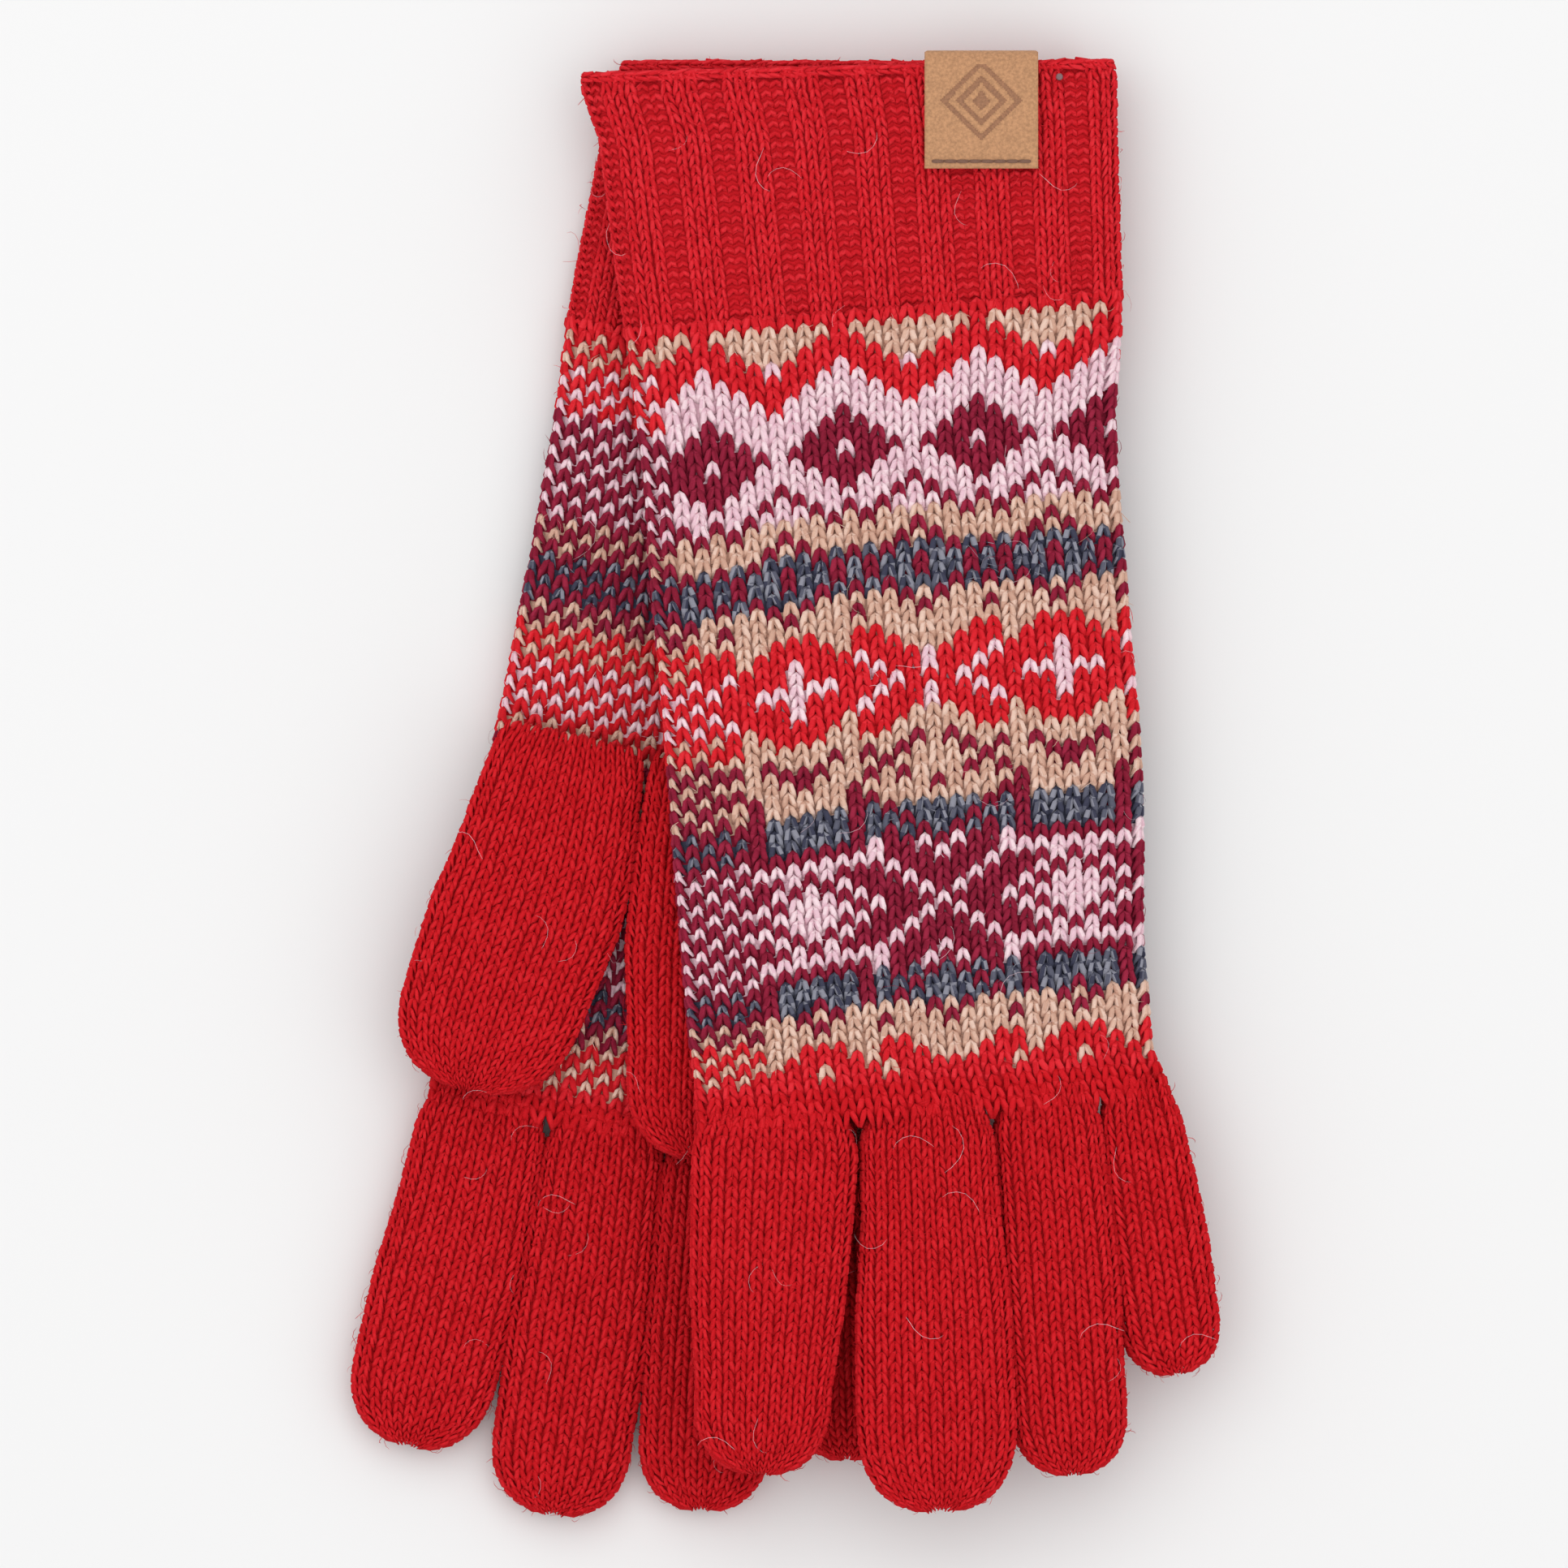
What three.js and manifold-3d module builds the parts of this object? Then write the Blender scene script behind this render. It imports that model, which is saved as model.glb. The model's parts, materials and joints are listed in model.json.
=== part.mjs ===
// A pair of knitted five-finger gloves, laid palm to palm and tacked together at the cuffs.
// The right glove lies underneath with its palm up, the left glove on top with its back up.
// Millimetres. +X across the gloves, +Y towards the cuffs, +Z up from the table.
// Each glove is a set of flattened knitted tubes: cuff, hand, thumb and four fingers.
import * as THREE from 'three';
import { LoftGeometry } from 'three/addons/geometries/LoftGeometry.js';
import { mergeVertices } from 'three/addons/utils/BufferGeometryUtils.js';
import Module from 'manifold-3d';

const wasm = await Module();
wasm.setup();

// ---------------------------------------------------------------- driving sizes

const WALL = 1.9;          // one layer of knitting
const GAP = 0.3;           // air between pieces that turn or slide past each other
const TUBE_T = 8.8;        // hand and finger tubes, outside, lying flat
const THUMB_T = 8.4;       // thumb tubes are pressed a little flatter
const FLAT = 0.8;          // share of a tube's bulge left where it is pressed level

const RIBS = 18;           // raised ribs round a cuff
const RIB_DEPTH = 0.9;     // how far the purl grooves sit back

const MOUTH_LONG = 5.5;    // half length of the hole that joins a thumb to its palm
const MOUTH_IN = 8.5;      // from the thumb's base to the middle of the hole
const MOUTH_RIM = 1.8;     // knitting left beside the hole, inside the thumb's side walls

const RISE_START = 13.6;   // the upper glove begins to rise this far below its cuff
const RISE_END = 8.2;      // and is fully up this far before its thumb's base
const THUMB_ROOM = 8.9;    // level knitting over the thumb, beside it, for its swing

const LABEL_W = 20.3;      // leather label folded over the upper cuff's edge
const LABEL_LONG = 21.1;   // from the fold to its lower edge
const LEATHER = 1.2;
const SEAM_IN = 1.3;       // stitch line above the label's lower edge
const THREAD_R = 0.32;
const THREAD_STITCHES = 8;

const TACK_R = 0.5;        // nylon stem that pins the two cuffs together
const TACK_PLAY = 0.35;
const TACK_BAR = 6;        // crossbar inside the lower cuff
const TACK_HEAD_R = 1.3;
const TACK_SLACK = 0.8;    // the bar hangs this far below the knitting
const TACK_FROM_SIDE = 8.3;
const TACK_FROM_EDGE = 2.4;
const LABEL_FROM_TACK = 3.8;

const FINGER_GAP = 0.4;    // between neighbouring fingers where they leave the hand
const FAN_AT = 35;         // the fingers' spread is set this far from the knuckles
const THUMBS_APART = 0.3;  // the two thumbs lie side by side between the hands

// Widths run from a finger's base to its tip: at 0, 1/4, 1/2 and 3/4 of its length.
// `spread` is the room to the next finger towards the thumb, measured at FAN_AT.
const LEFT = {
  at: [12.4, 127.4],       // middle of the cuff's edge
  turn: 4.5,
  base: TUBE_T + GAP,
  cuff: { edge: 96.2, edgeTurn: -2.4, edgeShift: [0, 0], wrist: 91, length: 44.4 },
  hand: { wrist: 90, palm: 86, centre: -0.8, knuckleCentre: -0.3, length: 142.8 },
  thumb: { inset: 11.4, fromWrist: 75.5, lean: -7.9, length: 72, widths: [25.4, 29.5, 31, 27.5] },
  indexLean: -7.3,
  fingers: [
    { name: 'index', spread: 0, length: 61.5, widths: [29.5, 28.4, 27, 23.6] },
    { name: 'middle', spread: 4, length: 70.3, widths: [23.2, 22.6, 26, 28] },
    { name: 'ring', spread: 0.8, length: 65.5, widths: [18.8, 18.6, 18.6, 18] },
    { name: 'little', spread: 1.5, length: 48.9, widths: [13.2, 14.8, 15.6, 15.6] },
  ],
};

const RIGHT = {
  at: [0, LEFT.at[1] + 1.4], // its place across is set from the thumbs, below
  turn: -10.7,
  base: 0,
  cuff: { edge: 88, edgeTurn: 10.7, edgeShift: [-0.8, -0.1], wrist: 89, length: 56 },
  hand: { wrist: 88.4, palm: 86, centre: 0, knuckleCentre: 0, length: 140.4 },
  thumb: { inset: 14.4, fromWrist: 71.3, lean: -2.6, length: 66, widths: [25.4, 30, 32.4, 29.4] },
  indexLean: -0.9,
  fingers: [
    { name: 'index', spread: 0, length: 61, widths: [22.4, 22.8, 24, 23.4] },
    { name: 'middle', spread: 1.2, length: 68.4, widths: [20.8, 21.6, 23.2, 22.8] },
    { name: 'ring', spread: 0.65, length: 63, widths: [20.8, 21.4, 22.6, 21.8] },
    { name: 'little', spread: 3.8, length: 50, widths: [20.8, 20.6, 20.4, 18.6] },
  ],
};

const rad = THREE.MathUtils.degToRad;
const smooth = THREE.MathUtils.smoothstep;
const lerp = THREE.MathUtils.lerp;

function widthAt(widths, share) {
  const place = Math.min(share * 4, 2.999);
  const k = Math.floor(place);
  return lerp(widths[k], widths[k + 1], place - k);
}

// fingers stand side by side along the knuckles and spread so that none crosses its neighbour
function placeFingers(glove) {
  const { fingers, hand } = glove;
  hand.knuckles = fingers.reduce((sum, f) => sum + f.widths[0], 0) + (fingers.length - 1) * FINGER_GAP;
  let edge = hand.knuckleCentre - hand.knuckles / 2;
  let fanX = 0;
  let fanHalf = 0;
  for (const finger of fingers) {
    finger.x = edge + finger.widths[0] / 2;
    edge += finger.widths[0] + FINGER_GAP;
    const half = widthAt(finger.widths, FAN_AT / finger.length) / 2;
    const first = finger === fingers[0];
    fanX = first ? finger.x + FAN_AT * Math.tan(rad(glove.indexLean)) : fanX + fanHalf + finger.spread + half;
    fanHalf = half;
    finger.lean = THREE.MathUtils.radToDeg(Math.atan((fanX - finger.x) / FAN_AT));
  }
}

function placeThumb(glove) {
  const { thumb, hand, cuff } = glove;
  thumb.x = hand.centre - hand.palm / 2 + thumb.inset;
  thumb.y = -(cuff.length + GAP + thumb.fromWrist);
}

for (const glove of [LEFT, RIGHT]) {
  placeFingers(glove);
  placeThumb(glove);
}

// from a glove's own frame to the pair's, less the glove's place
function turned(glove, x, y) {
  return new THREE.Vector2(x, y).rotateAround(new THREE.Vector2(), rad(glove.turn));
}

// middle of a thumb's length, and its half width measured straight across the pair
function thumbMiddle(glove) {
  const { x, y, lean, length, widths } = glove.thumb;
  const middle = turned(glove, x + Math.sin(rad(lean)) * length / 2, y - Math.cos(rad(lean)) * length / 2);
  return { x: middle.x, half: widths[2] / 2 / Math.cos(rad(lean + glove.turn)) };
}

const upperThumb = thumbMiddle(LEFT);
const lowerThumb = thumbMiddle(RIGHT);
RIGHT.at[0] = LEFT.at[0] + upperThumb.x - upperThumb.half - THUMBS_APART - lowerThumb.half - lowerThumb.x;

// height of the upper cuff's edge above the pair's X axis
const leftEdgeY = (x) => LEFT.at[1] + (x - LEFT.at[0]) * Math.tan(rad(LEFT.turn + LEFT.cuff.edgeTurn));

const lowerSideX = RIGHT.at[0] + RIGHT.cuff.edgeShift[0] + RIGHT.cuff.edge / 2;
const upperSideX = LEFT.at[0] + LEFT.cuff.edgeShift[0] + LEFT.cuff.edge / 2;
const TACK_X = Math.min(lowerSideX, upperSideX) - TACK_FROM_SIDE;
const TACK_AT = new THREE.Vector2(TACK_X, leftEdgeY(TACK_X) - TACK_FROM_EDGE);

// ---------------------------------------------------------------- materials

function finish(color, roughness, metalness = 0) {
  return new THREE.MeshStandardMaterial({ color, roughness, metalness });
}

const RED_RIB = finish(0xc81e28, 0.95);
const RED_PLAIN = finish(0xb4141c, 0.95);
const JACQUARD = finish(0xb8505c, 0.95);
const TAN_LEATHER = finish(0xc99b71, 0.7);
const SEWING_THREAD = finish(0x9c6f48, 0.6);
const NYLON = finish(0xc9c6c4, 0.35);

// ---------------------------------------------------------------- solids

function toManifold(geometry) {
  const bare = new THREE.BufferGeometry().copy(geometry);
  bare.deleteAttribute('normal');
  bare.deleteAttribute('uv');
  const merged = mergeVertices(bare, 1e-5);
  const mesh = new wasm.Mesh({
    numProp: 3,
    vertProperties: new Float32Array(merged.attributes.position.array),
    triVerts: new Uint32Array(merged.index.array),
  });
  return new wasm.Manifold(mesh);
}

function toGeometry(solid) {
  const { vertProperties, triVerts } = solid.getMesh();
  const geometry = new THREE.BufferGeometry();
  geometry.setAttribute('position', new THREE.BufferAttribute(new Float32Array(vertProperties), 3));
  geometry.setIndex(new THREE.BufferAttribute(new Uint32Array(triVerts), 1));
  geometry.computeVertexNormals();
  return geometry;
}

function named(name, solid, material) {
  const mesh = new THREE.Mesh(toGeometry(solid), material);
  mesh.name = name;
  return mesh;
}

// an elliptical punch standing along Z, for cutting a hole through one wall or more
function punch(x, y, fromZ, toZ, halfX, halfY, turn = 0) {
  const geometry = new THREE.CylinderGeometry(1, 1, toZ - fromZ, 20);
  geometry.rotateX(Math.PI / 2);
  geometry.scale(halfX, halfY, 1);
  geometry.rotateZ(turn);
  geometry.translate(x, y, (fromZ + toZ) / 2);
  return toManifold(geometry);
}

// ---------------------------------------------------------------- knitted tubes

// points spread evenly along a closed outline
function evenly(outline, count) {
  const lengths = [0];
  for (let i = 1; i <= outline.length; i++) {
    const step = outline[i % outline.length].distanceTo(outline[i - 1]);
    lengths.push(lengths[i - 1] + step);
  }
  const points = [];
  let k = 0;
  for (let i = 0; i < count; i++) {
    const want = (lengths[outline.length] * i) / count;
    while (lengths[k + 1] < want) k++;
    const share = (want - lengths[k]) / (lengths[k + 1] - lengths[k]);
    points.push(outline[k].clone().lerp(outline[(k + 1) % outline.length], share));
  }
  return points;
}

// outline of a tube pressed between two flat faces: x across, y up from its underside
function flattened(width, thickness, count) {
  const bulge = thickness / 2 / FLAT;
  const outline = [];
  for (let i = 0; i < 240; i++) {
    const angle = (i / 240) * Math.PI * 2;
    const c = Math.cos(angle);
    const s = Math.sin(angle);
    const x = (width / 2) * Math.sign(c) * Math.abs(c) ** (2 / 3);
    const y = bulge * Math.sign(s) * Math.abs(s) ** (2 / 3);
    outline.push(new THREE.Vector2(x, thickness / 2 + THREE.MathUtils.clamp(y, -thickness / 2, thickness / 2)));
  }
  return evenly(outline, count);
}

// knit and purl columns: the outline is drawn in at every groove
function ribbed(outline, ribs, depth) {
  return outline.map((point, i) => {
    const before = outline[(i + outline.length - 1) % outline.length];
    const after = outline[(i + 1) % outline.length];
    const out = new THREE.Vector2(after.y - before.y, before.x - after.x).normalize();
    const groove = depth * (0.5 - 0.5 * Math.cos((i / outline.length) * ribs * Math.PI * 2));
    return point.clone().addScaledVector(out, -groove);
  });
}

// a section stands across the tube at `along`, its middle at `x`, turned by `turn` degrees
function loft(sections, outlineOf) {
  const rings = sections.map((s) => outlineOf(s).map((p) => new THREE.Vector3(
    s.x + p.x * Math.cos(rad(s.turn ?? 0)),
    -s.along + p.x * Math.sin(rad(s.turn ?? 0)),
    s.z + p.y,
  )));
  return toManifold(new LoftGeometry(rings, { closed: true, capStart: true, capEnd: true }));
}

// the hollow that a hand or finger goes into: every section drawn in by one layer of knitting
// and, at a closed end, stopped short of it
function hollowOf(sections, shiftStart, shiftEnd) {
  const last = sections.length - 1;
  return sections.map((s, i) => ({
    ...s,
    along: s.along + (i === 0 ? shiftStart : 0) + (i === last ? shiftEnd : 0),
    width: s.width - 2 * WALL,
    thickness: s.thickness - 2 * WALL,
    z: s.z + WALL,
  }));
}

const plainOutline = (count) => (s) => flattened(s.width, s.thickness, count);

// ---------------------------------------------------------------- pieces of a glove

function cuffSolid(glove) {
  const { edge, edgeTurn, edgeShift, wrist, length } = glove.cuff;
  const sections = [];
  for (let i = 0; i <= 4; i++) {
    const share = i / 4;
    sections.push({
      along: share * length - (1 - share) * edgeShift[1],
      x: (1 - share) * edgeShift[0],
      turn: (1 - share) * edgeTurn,
      width: lerp(edge, wrist, share),
      thickness: TUBE_T,
      z: glove.base,
    });
  }
  const outside = loft(sections, (s) => ribbed(flattened(s.width, s.thickness, RIBS * 6), RIBS, RIB_DEPTH));
  return outside.subtract(loft(hollowOf(sections, -1, 1), plainOutline(36)));
}

function handSolid(glove) {
  const { wrist, palm, knuckles, centre, knuckleCentre, length } = glove.hand;
  const start = glove.cuff.length + GAP;
  const sections = [];
  for (let i = 0; i <= 14; i++) {
    const share = i / 14;
    const toPalm = smooth(share, 0, 0.16);
    const toKnuckles = smooth(share, 0.5, 1);
    sections.push({
      along: start + share * (length - GAP),
      x: lerp(centre * toPalm, knuckleCentre, toKnuckles),
      width: lerp(lerp(wrist, palm, toPalm), knuckles, toKnuckles),
      thickness: TUBE_T,
      z: glove.base,
    });
  }
  return loft(sections, plainOutline(36)).subtract(loft(hollowOf(sections, -1, 1), plainOutline(36)));
}

// outside sections of a finger from its base to its gathered tip
function fingerSections(finger, thickness, z) {
  const round = 0.55 * finger.widths[3];
  return [0, 0.14, 0.28, 0.42, 0.56, 0.68, 0.78, 0.86, 0.92, 0.96, 0.985].map((share) => {
    const along = share * finger.length;
    const past = Math.max(0, (along - finger.length + round) / round);
    const closing = (1 - past ** 2.5) ** 0.4;
    const pressed = thickness * (0.5 + 0.5 * closing);
    return {
      along: past > 0.9 ? lerp(along, finger.length, (past - 0.9) * 5) : along,
      x: 0,
      width: widthAt(finger.widths, share) * closing,
      thickness: pressed,
      z: z + (thickness - pressed) / 2,
    };
  });
}

function fingerSolid(finger, z) {
  const sections = fingerSections(finger, TUBE_T, z);
  const hollow = hollowOf(sections, -1, 0).filter((s) => s.along < finger.length - 2 * WALL);
  return loft(sections, plainOutline(22)).subtract(loft(hollow, plainOutline(22)));
}

const mouthHalf = (thumb) => thumb.widths[0] / 2 - WALL - MOUTH_RIM;

// the thumb grows out of the palm, so its base is closed by a fold and its mouth faces the palm
function thumbSolid(thumb, z, palmAbove) {
  const tip = fingerSections(thumb, THUMB_T, z).slice(1);
  const baseFold = [[0, 0.36], [0.6, 0.56], [2, 0.8], [4.5, 0.95], [8, 1]].map(([along, share]) => ({
    along,
    x: 0,
    width: thumb.widths[0] * (0.86 + 0.14 * share),
    thickness: THUMB_T * share,
    z: palmAbove ? z + THUMB_T * (1 - share) : z,
  }));
  const sections = [...baseFold, ...tip.filter((s) => s.along > 9)];
  const hollow = hollowOf(sections, 0, 0).filter((s) => s.along > WALL && s.along < thumb.length - 2 * WALL);
  const faceZ = palmAbove ? z + THUMB_T : z;
  const mouth = punch(0, -MOUTH_IN, faceZ - 2 * GAP - WALL, faceZ + 2 * GAP + WALL, mouthHalf(thumb), MOUTH_LONG);
  return loft(sections, plainOutline(24)).subtract(loft(hollow, plainOutline(24))).subtract(mouth);
}

// ---------------------------------------------------------------- the upper glove's drape

const RISE = THUMB_T + GAP;

// full height over the thumb, sloping down to nothing at the little-finger edge
function drape(x, y) {
  const fullX = LEFT.thumb.x + Math.max(...LEFT.thumb.widths) / 2 + THUMB_ROOM;
  const zeroX = LEFT.hand.centre + LEFT.hand.palm / 2;
  const across = THREE.MathUtils.clamp((zeroX - x) / (zeroX - fullX), 0, 1);
  const along = 1 - smooth(y, LEFT.thumb.y + RISE_END, -(LEFT.cuff.length + RISE_START));
  return RISE * across * along;
}

function draped(solid) {
  return solid.warp((v) => {
    v[2] += drape(v[0], v[1]);
  });
}

// ---------------------------------------------------------------- assembly

function groupAt(name, x, y, turn) {
  const group = new THREE.Group();
  group.name = name;
  group.position.set(x, y, 0);
  group.rotation.z = rad(turn);
  return group;
}

// the tack's place in a glove's own frame
function tackIn(glove) {
  const offset = TACK_AT.clone().sub(new THREE.Vector2(...glove.at));
  return offset.rotateAround(new THREE.Vector2(), -rad(glove.turn));
}

function buildGlove(side, glove, onTop) {
  const group = groupAt(`${side}_glove`, glove.at[0], glove.at[1], glove.turn);

  const tack = tackIn(glove);
  const tackHoleFrom = onTop ? glove.base - 1 : glove.base + TUBE_T - WALL - 1;
  const tackHole = punch(tack.x, tack.y, tackHoleFrom, glove.base + TUBE_T + 1, TACK_R + TACK_PLAY, TACK_R + TACK_PLAY);
  group.add(named(`${side}_cuff`, cuffSolid(glove).subtract(tackHole), RED_RIB));

  const thumbZ = TUBE_T + GAP;
  const thumb = groupAt(`${side}_thumb_group`, glove.thumb.x, glove.thumb.y, glove.thumb.lean);
  thumb.add(named(`${side}_thumb`, thumbSolid(glove.thumb, thumbZ, onTop), RED_PLAIN));
  group.add(thumb);

  const lean = rad(glove.thumb.lean);
  const mouthX = glove.thumb.x - MOUTH_IN * Math.sin(-lean);
  const mouthY = glove.thumb.y - MOUTH_IN * Math.cos(lean);
  const palmZ = onTop ? glove.base + RISE : glove.base + TUBE_T;
  const slot = punch(mouthX, mouthY, palmZ - WALL - 1, palmZ + WALL + 1, mouthHalf(glove.thumb), MOUTH_LONG, lean);
  const tube = handSolid(glove);
  const hand = onTop ? draped(tube) : tube;
  group.add(named(`${side}_hand`, hand.subtract(slot), JACQUARD));

  const knuckleY = -(glove.cuff.length + glove.hand.length + GAP);
  for (const finger of glove.fingers) {
    const place = groupAt(`${side}_${finger.name}_group`, finger.x, knuckleY, finger.lean);
    place.position.z = onTop ? drape(finger.x, knuckleY) : 0;
    place.add(named(`${side}_${finger.name}`, squareEnd(fingerSolid(finger, glove.base), finger), RED_PLAIN));
    group.add(place);
  }
  return group;
}

// a leaning finger still starts square to the knuckle line: trim what would reach past it
function squareEnd(solid, finger) {
  const lean = rad(finger.lean);
  const normal = [-Math.sin(lean), -Math.cos(lean), 0];
  return solid.trimByPlane(normal, 0);
}

// leather strip folded over the edge of the upper cuff, with its row of stitches
function buildLabel(glove) {
  const cuffTop = glove.base + TUBE_T;
  const inside = (WALL + 2 * GAP) / 2;
  const outside = inside + LEATHER;
  const foldY = LABEL_LONG - outside;
  const profile = new THREE.Shape();
  profile.moveTo(0, inside);
  profile.lineTo(0, outside);
  profile.lineTo(foldY, outside);
  profile.absarc(foldY, 0, outside, Math.PI / 2, -Math.PI / 2, true);
  profile.lineTo(0, -outside);
  profile.lineTo(0, -inside);
  profile.lineTo(foldY, -inside);
  profile.absarc(foldY, 0, inside, -Math.PI / 2, Math.PI / 2, false);
  const strip = new THREE.ExtrudeGeometry(profile, { depth: LABEL_W, bevelEnabled: false, curveSegments: 10 });
  // profile x runs along +Y, profile y runs along +Z, the extrusion runs along +X
  strip.applyMatrix4(new THREE.Matrix4().makeBasis(
    new THREE.Vector3(0, 1, 0),
    new THREE.Vector3(0, 0, 1),
    new THREE.Vector3(1, 0, 0),
  ));

  const rightX = TACK_AT.x - LABEL_FROM_TACK;
  const group = groupAt('label', rightX - LABEL_W, leftEdgeY(rightX) - foldY, 0);
  group.position.z = cuffTop - WALL / 2;
  group.add(named('label_patch', toManifold(strip), TAN_LEATHER));

  const from = SEAM_IN;
  const span = LABEL_W - 2 * SEAM_IN;
  const rings = [];
  const steps = THREAD_STITCHES * 4;
  for (let i = 0; i <= steps; i++) {
    const share = i / steps;
    const r = THREAD_R * (0.6 + 0.4 * Math.abs(Math.sin(share * THREAD_STITCHES * Math.PI)));
    const ring = [];
    for (let k = 0; k < 8; k++) {
      const angle = (k / 8) * Math.PI * 2;
      ring.push(new THREE.Vector3(
        from + span * share,
        SEAM_IN + r * Math.cos(angle),
        outside + THREAD_R + 0.05 + r * Math.sin(angle),
      ));
    }
    rings.push(ring);
  }
  const thread = new LoftGeometry(rings, { closed: true, capStart: true, capEnd: true });
  group.add(named('label_stitching', toManifold(thread), SEWING_THREAD));
  return group;
}

// nylon tack: a round head on the upper cuff, a stem, and a crossbar inside the lower cuff
function buildTack() {
  const barZ = TUBE_T - WALL - TACK_SLACK - TACK_R;
  const headZ = LEFT.base + TUBE_T + GAP;
  const stem = punch(0, 0, barZ, headZ + 0.3, TACK_R, TACK_R);
  const head = punch(0, 0, headZ, headZ + 0.6, TACK_HEAD_R, TACK_HEAD_R);
  const bar = new THREE.CapsuleGeometry(TACK_R, TACK_BAR - 2 * TACK_R, 4, 12);
  bar.rotateZ(Math.PI / 2);
  bar.translate(0, 0, barZ);
  const group = groupAt('tack', TACK_AT.x, TACK_AT.y, 0);
  group.add(named('pair_tack', stem.add(head).add(toManifold(bar)), NYLON));
  return group;
}

const pair = new THREE.Group();
pair.name = 'glove_pair';
pair.add(buildGlove('right', RIGHT, false));
pair.add(buildGlove('left', LEFT, true));
pair.add(buildLabel(LEFT));
pair.add(buildTack());

// origin at the middle of the underside
pair.updateMatrixWorld(true);
const box = new THREE.Box3().setFromObject(pair, true);
const middle = box.getCenter(new THREE.Vector3());
pair.position.set(-middle.x, -middle.y, -box.min.z);
pair.updateMatrixWorld(true);

export default pair;
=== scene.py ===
"""A pair of knitted five-finger gloves, one on the other, tacked together at the cuffs.

Metres, in the frame's own axes: +X across the gloves, +Y towards the cuffs, +Z up.
"""

import json
import math

import bpy
import numpy as np
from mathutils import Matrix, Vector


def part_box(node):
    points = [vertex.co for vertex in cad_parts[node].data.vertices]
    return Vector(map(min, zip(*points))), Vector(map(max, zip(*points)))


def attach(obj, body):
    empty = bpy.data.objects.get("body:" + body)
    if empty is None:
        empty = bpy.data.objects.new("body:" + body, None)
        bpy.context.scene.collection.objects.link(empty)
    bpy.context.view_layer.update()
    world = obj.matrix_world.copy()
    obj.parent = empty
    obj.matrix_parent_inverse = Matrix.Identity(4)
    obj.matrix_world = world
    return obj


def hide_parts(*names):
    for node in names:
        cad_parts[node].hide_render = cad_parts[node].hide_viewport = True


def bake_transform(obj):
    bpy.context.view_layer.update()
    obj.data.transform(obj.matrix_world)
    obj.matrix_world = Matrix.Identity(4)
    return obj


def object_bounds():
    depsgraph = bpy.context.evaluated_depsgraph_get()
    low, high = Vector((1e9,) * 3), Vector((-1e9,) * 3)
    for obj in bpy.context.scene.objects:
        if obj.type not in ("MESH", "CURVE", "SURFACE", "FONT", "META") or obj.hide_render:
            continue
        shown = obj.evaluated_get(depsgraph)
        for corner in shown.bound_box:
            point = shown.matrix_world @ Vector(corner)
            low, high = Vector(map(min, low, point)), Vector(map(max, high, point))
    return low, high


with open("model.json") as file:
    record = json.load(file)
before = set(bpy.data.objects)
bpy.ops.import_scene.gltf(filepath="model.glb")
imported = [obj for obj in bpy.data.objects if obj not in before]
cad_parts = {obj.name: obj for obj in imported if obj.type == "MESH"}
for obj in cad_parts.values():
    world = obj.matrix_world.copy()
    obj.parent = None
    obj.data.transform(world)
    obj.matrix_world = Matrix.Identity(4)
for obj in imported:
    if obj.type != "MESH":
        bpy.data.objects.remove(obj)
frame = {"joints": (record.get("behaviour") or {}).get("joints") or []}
cad_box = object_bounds()

# ---------------------------------------------------------------- table, light and camera
# A pale matt table, a wide soft light overhead and a weaker one at the side.
# The camera looks straight down, with the cuffs at the top.

MM = 0.001
low, high = cad_box
MIDDLE = (low + high) / 2


def linear(colour):
    """sRGB hex to a linear colour."""
    parts = [int(colour[i : i + 2], 16) / 255 for i in (1, 3, 5)]
    return [p / 12.92 if p <= 0.04045 else ((p + 0.055) / 1.055) ** 2.4 for p in parts]


def add_node(tree, kind, inputs=None, links=None, **settings):
    """Adds a node; inputs are socket values, links are (input, other node's output)."""
    node = tree.nodes.new(kind)
    for key, value in settings.items():
        setattr(node, key, value)
    for key, value in (inputs or {}).items():
        node.inputs[key].default_value = value
    for key, output in (links or {}).items():
        tree.links.new(output, node.inputs[key])
    return node


def fresh_material(name):
    material = bpy.data.materials.new(name)
    material.use_nodes = True
    material.node_tree.nodes.clear()
    return material


# painted board: matt, nearly white
board = fresh_material("painted_board")
tree = board.node_tree
shader = add_node(tree, "ShaderNodeBsdfPrincipled", {"Base Color": [*linear("#e6e6e6"), 1], "Roughness": 0.9})
add_node(tree, "ShaderNodeOutputMaterial", links={"Surface": shader.outputs[0]})

TABLE_HALF = 3.0
TABLE_DROP = 0.0006  # the loose fibres under the gloves hold them this far off the table
table_mesh = bpy.data.meshes.new("table")
corners = [
    (x * TABLE_HALF, y * TABLE_HALF, low.z - TABLE_DROP) for x, y in ((-1, -1), (1, -1), (1, 1), (-1, 1))
]
table_mesh.from_pydata(corners, [], [(0, 1, 2, 3)])
table = bpy.data.objects.new("table", table_mesh)
table_mesh.materials.append(board)
bpy.context.scene.collection.objects.link(table)

SKY_STRENGTH = 0.88
world = bpy.data.worlds.new("studio")
bpy.context.scene.world = world
world.use_nodes = True
world.node_tree.nodes["Background"].inputs["Color"].default_value = (1, 1, 1, 1)
world.node_tree.nodes["Background"].inputs["Strength"].default_value = SKY_STRENGTH
bpy.context.scene.view_settings.view_transform = "Standard"

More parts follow.
